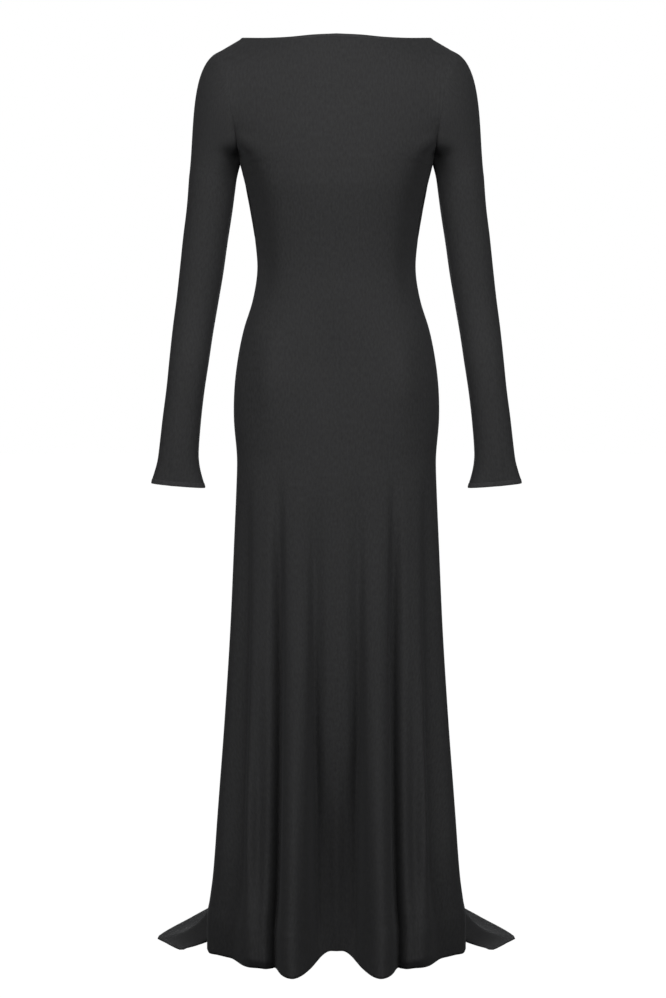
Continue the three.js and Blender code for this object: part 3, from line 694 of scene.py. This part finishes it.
turns = np.linspace(-np.pi, np.pi, SLEEVE_LINES)
t, turn = np.meshgrid(np.linspace(0, 1, CAP_ROWS), turns, indexing="ij")
cap = cap_point(turn, t)
heights = np.linspace(CAP_END, SLEEVE_END, SLEEVE_ROWS)[1:]
height, turn = np.meshgrid(heights, turns, indexing="ij")
sleeve_points = np.concatenate([cap, sleeve_ring(turn, height)])
draw_into_armpit(sleeve_points)
fill_armhole(sleeve_points)
soft_line(sleeve_points, CUFF_FLUTE)
sleeve_points[:, -1] = sleeve_points[:, 0]
sleeve_hem, sleeve_seam = edge_distances(sleeve_points)
for side, flip in (("left", 1), ("right", -1)):
    points = sleeve_points * (flip, 1, 1)
    name = f"sleeve_{side}_panel"
    sleeve = cloth(name, points, flip == 1, sleeve_hem + NO_HEM, sleeve_seam, ring=True)
    sleeve.data.materials.append(body_jersey)
    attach(sleeve, "root")
    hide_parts(f"sleeve_{side}")

# The neck binding: a narrow strip of jersey folded over the raw edge of the boat neck and sewn
# down, so that it stands as a soft roll. Its jersey is a little lighter than the cloth below it:
# a painted highlight along the roll.

BINDING_WIDTH = 6.0
BINDING_THICKNESS = 2.6
BINDING_ABOVE_EDGE = 0.6
BINDING_LINES = 61
JUST_BELOW_EDGE = 0.93  # how far up the yoke
SHOULDER_TURN = {"from": 0.93, "over": 0.07, "way": np.array([1, 0, -0.58])}
FOLD_SQUARENESS = {"across": 0.7, "out": 0.8}  # 1 is round, less is squarer
ROLL_SIDES = 16
ROLL_TURNS = np.linspace(0, math.tau, ROLL_SIDES + 1)


def binding_half(panel, count):
    """The neck edge of a panel's +X half, from its centre to the neck point, and the way down."""
    neck = neck_point_line(panel)
    s = np.linspace(0, neck, count)
    edge = yoke_point(panel, s, np.ones_like(s))
    below = yoke_point(panel, s, np.full_like(s, JUST_BELOW_EDGE)) - edge
    below /= np.linalg.norm(below, axis=-1, keepdims=True)
    turn = ease((s / neck - SHOULDER_TURN["from"]) / SHOULDER_TURN["over"])[:, None]
    down = mix(below, SHOULDER_TURN["way"], turn)
    return edge, down / np.linalg.norm(down, axis=-1, keepdims=True)


def full_ring(half_front, half_back):
    """Once round the neck from the centre back through +X, or the same for directions."""
    mirror = np.array([-1, 1, 1])
    return np.concatenate([
        half_back[:-1],
        half_front[:0:-1],
        half_front[:-1] * mirror,
        half_back[:0:-1] * mirror,
        half_back[:1],
    ])


def squared(value, power):
    """A sine or cosine whose curve has squarer shoulders, for a folded edge."""
    return math.copysign(abs(value) ** power, value)


front_edge, front_down = binding_half(FRONT, BINDING_LINES)
back_edge, back_down = binding_half(BACK, BINDING_LINES)
edge, down = full_ring(front_edge, back_edge), full_ring(front_down, back_down)
run = np.roll(edge[:-1], -1, axis=0) - np.roll(edge[:-1], 1, axis=0)
run = np.concatenate([run, run[:1]])
face = np.cross(run, down)
face /= np.linalg.norm(face, axis=-1, keepdims=True)
roll = []
for angle in ROLL_TURNS:
    drop = BINDING_WIDTH / 2 * (1 - squared(math.cos(angle), FOLD_SQUARENESS["across"]))
    stand = BINDING_THICKNESS / 2 * squared(math.sin(angle), FOLD_SQUARENESS["out"])
    roll.append(edge + down * (drop - BINDING_ABOVE_EDGE) + face * (stand - CLOTH / 2))
neck_points = np.array(roll)
neck_points[-1] = neck_points[0]
neck_points[:, -1] = neck_points[:, 0]
far = np.ones(neck_points.shape[:2])
neck = cloth("neck_edge", neck_points, False, far, far, thickness=0, ring=True)
# The trim's jersey is the body's jersey painted lighter: a painted highlight on the neck roll and
# the cuff bands.
TRIM_WITH_PAINTED_HIGHLIGHT = (0.036, 0.036, 0.0375)
trim_jersey_painted_highlight = jersey("trim_jersey_painted_highlight", TRIM_WITH_PAINTED_HIGHLIGHT, hem_stitches=False)
neck.data.materials.append(trim_jersey_painted_highlight)
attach(neck, "root")
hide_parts("neck_binding")

# The cuff bands: the end of each sleeve turned back and stitched, a firm narrow band that stands
# out with the flare. Its jersey is painted a little lighter too: a painted highlight along the band.

BAND_THICKNESS = 2.4
BAND_HALF_WIDTH = 4.0
BAND_MIDDLE = 759.0
BAND_SQUARENESS = 0.7
for side, flip in (("left", 1), ("right", -1)):
    profile = []
    for angle in ROLL_TURNS:
        level = BAND_MIDDLE + BAND_HALF_WIDTH * squared(math.cos(angle), BAND_SQUARENESS)
        stand = BAND_THICKNESS / 2 * squared(math.sin(angle), BAND_SQUARENESS) - CLOTH / 2
        ring = sleeve_ring(turns, np.full_like(turns, level))
        out = np.stack([np.cos(turns), -np.sin(turns), 0 * turns], axis=-1)
        profile.append((ring + out * stand) * (flip, 1, 1))
    band_points = np.array(profile)
    soft_line(band_points, CUFF_FLUTE)
    band_points[-1] = band_points[0]
    band_points[:, -1] = band_points[:, 0]
    far = np.ones(band_points.shape[:2])
    band = cloth(f"cuff_{side}_band", band_points, flip == -1, far, far, thickness=0, ring=True)
    band.data.materials.append(trim_jersey_painted_highlight)
    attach(band, "root")
    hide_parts(f"cuff_band_{side}")

# The studio: a pale floor under the hem, a pale sky, a small light high in front and one behind,
# two soft lights on each side of the camera, one low behind on each side, and the camera. Floor and
# sky are white to the camera alone, so they light the dress no more than a grey room would.

FLOOR_RADIUS = 14
FLOOR_SIDES = 96
FLOOR_BELOW_HEM = 0.0005
FLOOR_GREY = (0.03, 0.03, 0.03, 1)
SKY_GREY = (0.056, 0.056, 0.056, 1)
WHITE = (1, 1, 1, 1)

bm = bmesh.new()
bmesh.ops.create_circle(bm, cap_ends=True, segments=FLOOR_SIDES, radius=FLOOR_RADIUS)
floor_mesh = bpy.data.meshes.new("floor")
for v in bm.verts:
    v.co.z = -NECK_POINT_HEIGHT / 1000 - FLOOR_BELOW_HEM
bm.to_mesh(floor_mesh)
bm.free()
floor = bpy.data.objects.new("floor", floor_mesh)
bpy.context.scene.collection.objects.link(floor)
floor_paint = bpy.data.materials.new("pale_floor")
floor_paint.use_nodes = True
floor_paint.node_tree.nodes.clear()
paint = Shade(floor_paint.node_tree)
painted = paint.node(
    "ShaderNodeBsdfPrincipled",
    inputs={
        "Base Color": FLOOR_GREY,
        "Roughness": 0.9,
        "Emission Color": paint.node("ShaderNodeLightPath"),
        "Emission Strength": 1.0,
    },
)
paint.node("ShaderNodeOutputMaterial", inputs={"Surface": painted})
floor.visible_glossy = False
floor.data.materials.append(floor_paint)

world = bpy.data.worlds.new("studio")
bpy.context.scene.world = world
world.use_nodes = True
world.node_tree.nodes.clear()
sky = Shade(world.node_tree)
seen = sky.node(
    "ShaderNodeMix",
    {"data_type": "RGBA"},
    {"Factor": sky.node("ShaderNodeLightPath"), COLOUR_A: SKY_GREY, COLOUR_B: WHITE},
    output=MIXED_COLOUR,
)
backdrop = sky.node("ShaderNodeBackground", inputs={"Color": seen, "Strength": 1.0})
sky.node("ShaderNodeOutputWorld", inputs={"Surface": backdrop})


def soft_light(name, place, aim, size, power, spread=180):
    """An area light. Those in front of the dress also give it its soft gloss."""
    lamp = bpy.data.lights.new(name, "AREA")
    lamp.shape = "RECTANGLE"
    lamp.size, lamp.size_y = size
    lamp.energy = power
    lamp.spread = math.radians(spread)
    light = bpy.data.objects.new(name, lamp)
    bpy.context.scene.collection.objects.link(light)
    light.location = place
    towards = Vector([a - p for a, p in zip(aim, place)])
    light.rotation_euler = towards.to_track_quat("-Z", "Y").to_euler()
    light.visible_glossy = place[1] < 0


soft_light("key", (0, -1.3, 1.2), (0, 0, -0.3), (0.6, 0.5), 7.5)
soft_light("rear_key", (0, 2.2, 0.6), (0, 0, -0.1), (0.9, 0.7), 6, spread=70)
for side in (-1, 1):
    rear_place, rear_aim = (0.6 * side, 2.9, -0.85), (0, 0, -0.05)
    soft_light(f"front_near_{side}", (1.3 * side, -2.8, 0.5), (0, 0, -0.5), (0.8, 1.2), 16.7)
    soft_light(f"front_side_{side}", (2.0 * side, -2.2, 0.3), (0, 0, -0.5), (1.2, 2.0), 24.2)
    soft_light(f"rear_side_{side}", rear_place, rear_aim, (1.0, 1.1), 14, spread=80)

CAMERA_HEIGHT = 1.0
CAMERA_DISTANCE = 3.4
CAMERA_ASIDE = -0.0055
CAMERA_DOWN = 4.53
CAMERA_LENS = 77.47
CAMERA_SENSOR = 36
camera = bpy.data.objects.new("camera", bpy.data.cameras.new("camera"))
bpy.context.scene.collection.objects.link(camera)
camera.location = (CAMERA_ASIDE, -CAMERA_DISTANCE, CAMERA_HEIGHT - NECK_POINT_HEIGHT / 1000)
camera.rotation_euler = (math.radians(90 - CAMERA_DOWN), 0, 0)
camera.data.lens = CAMERA_LENS
camera.data.sensor_width = CAMERA_SENSOR
bpy.context.scene.camera = camera
bpy.context.scene.view_settings.view_transform = "Standard"
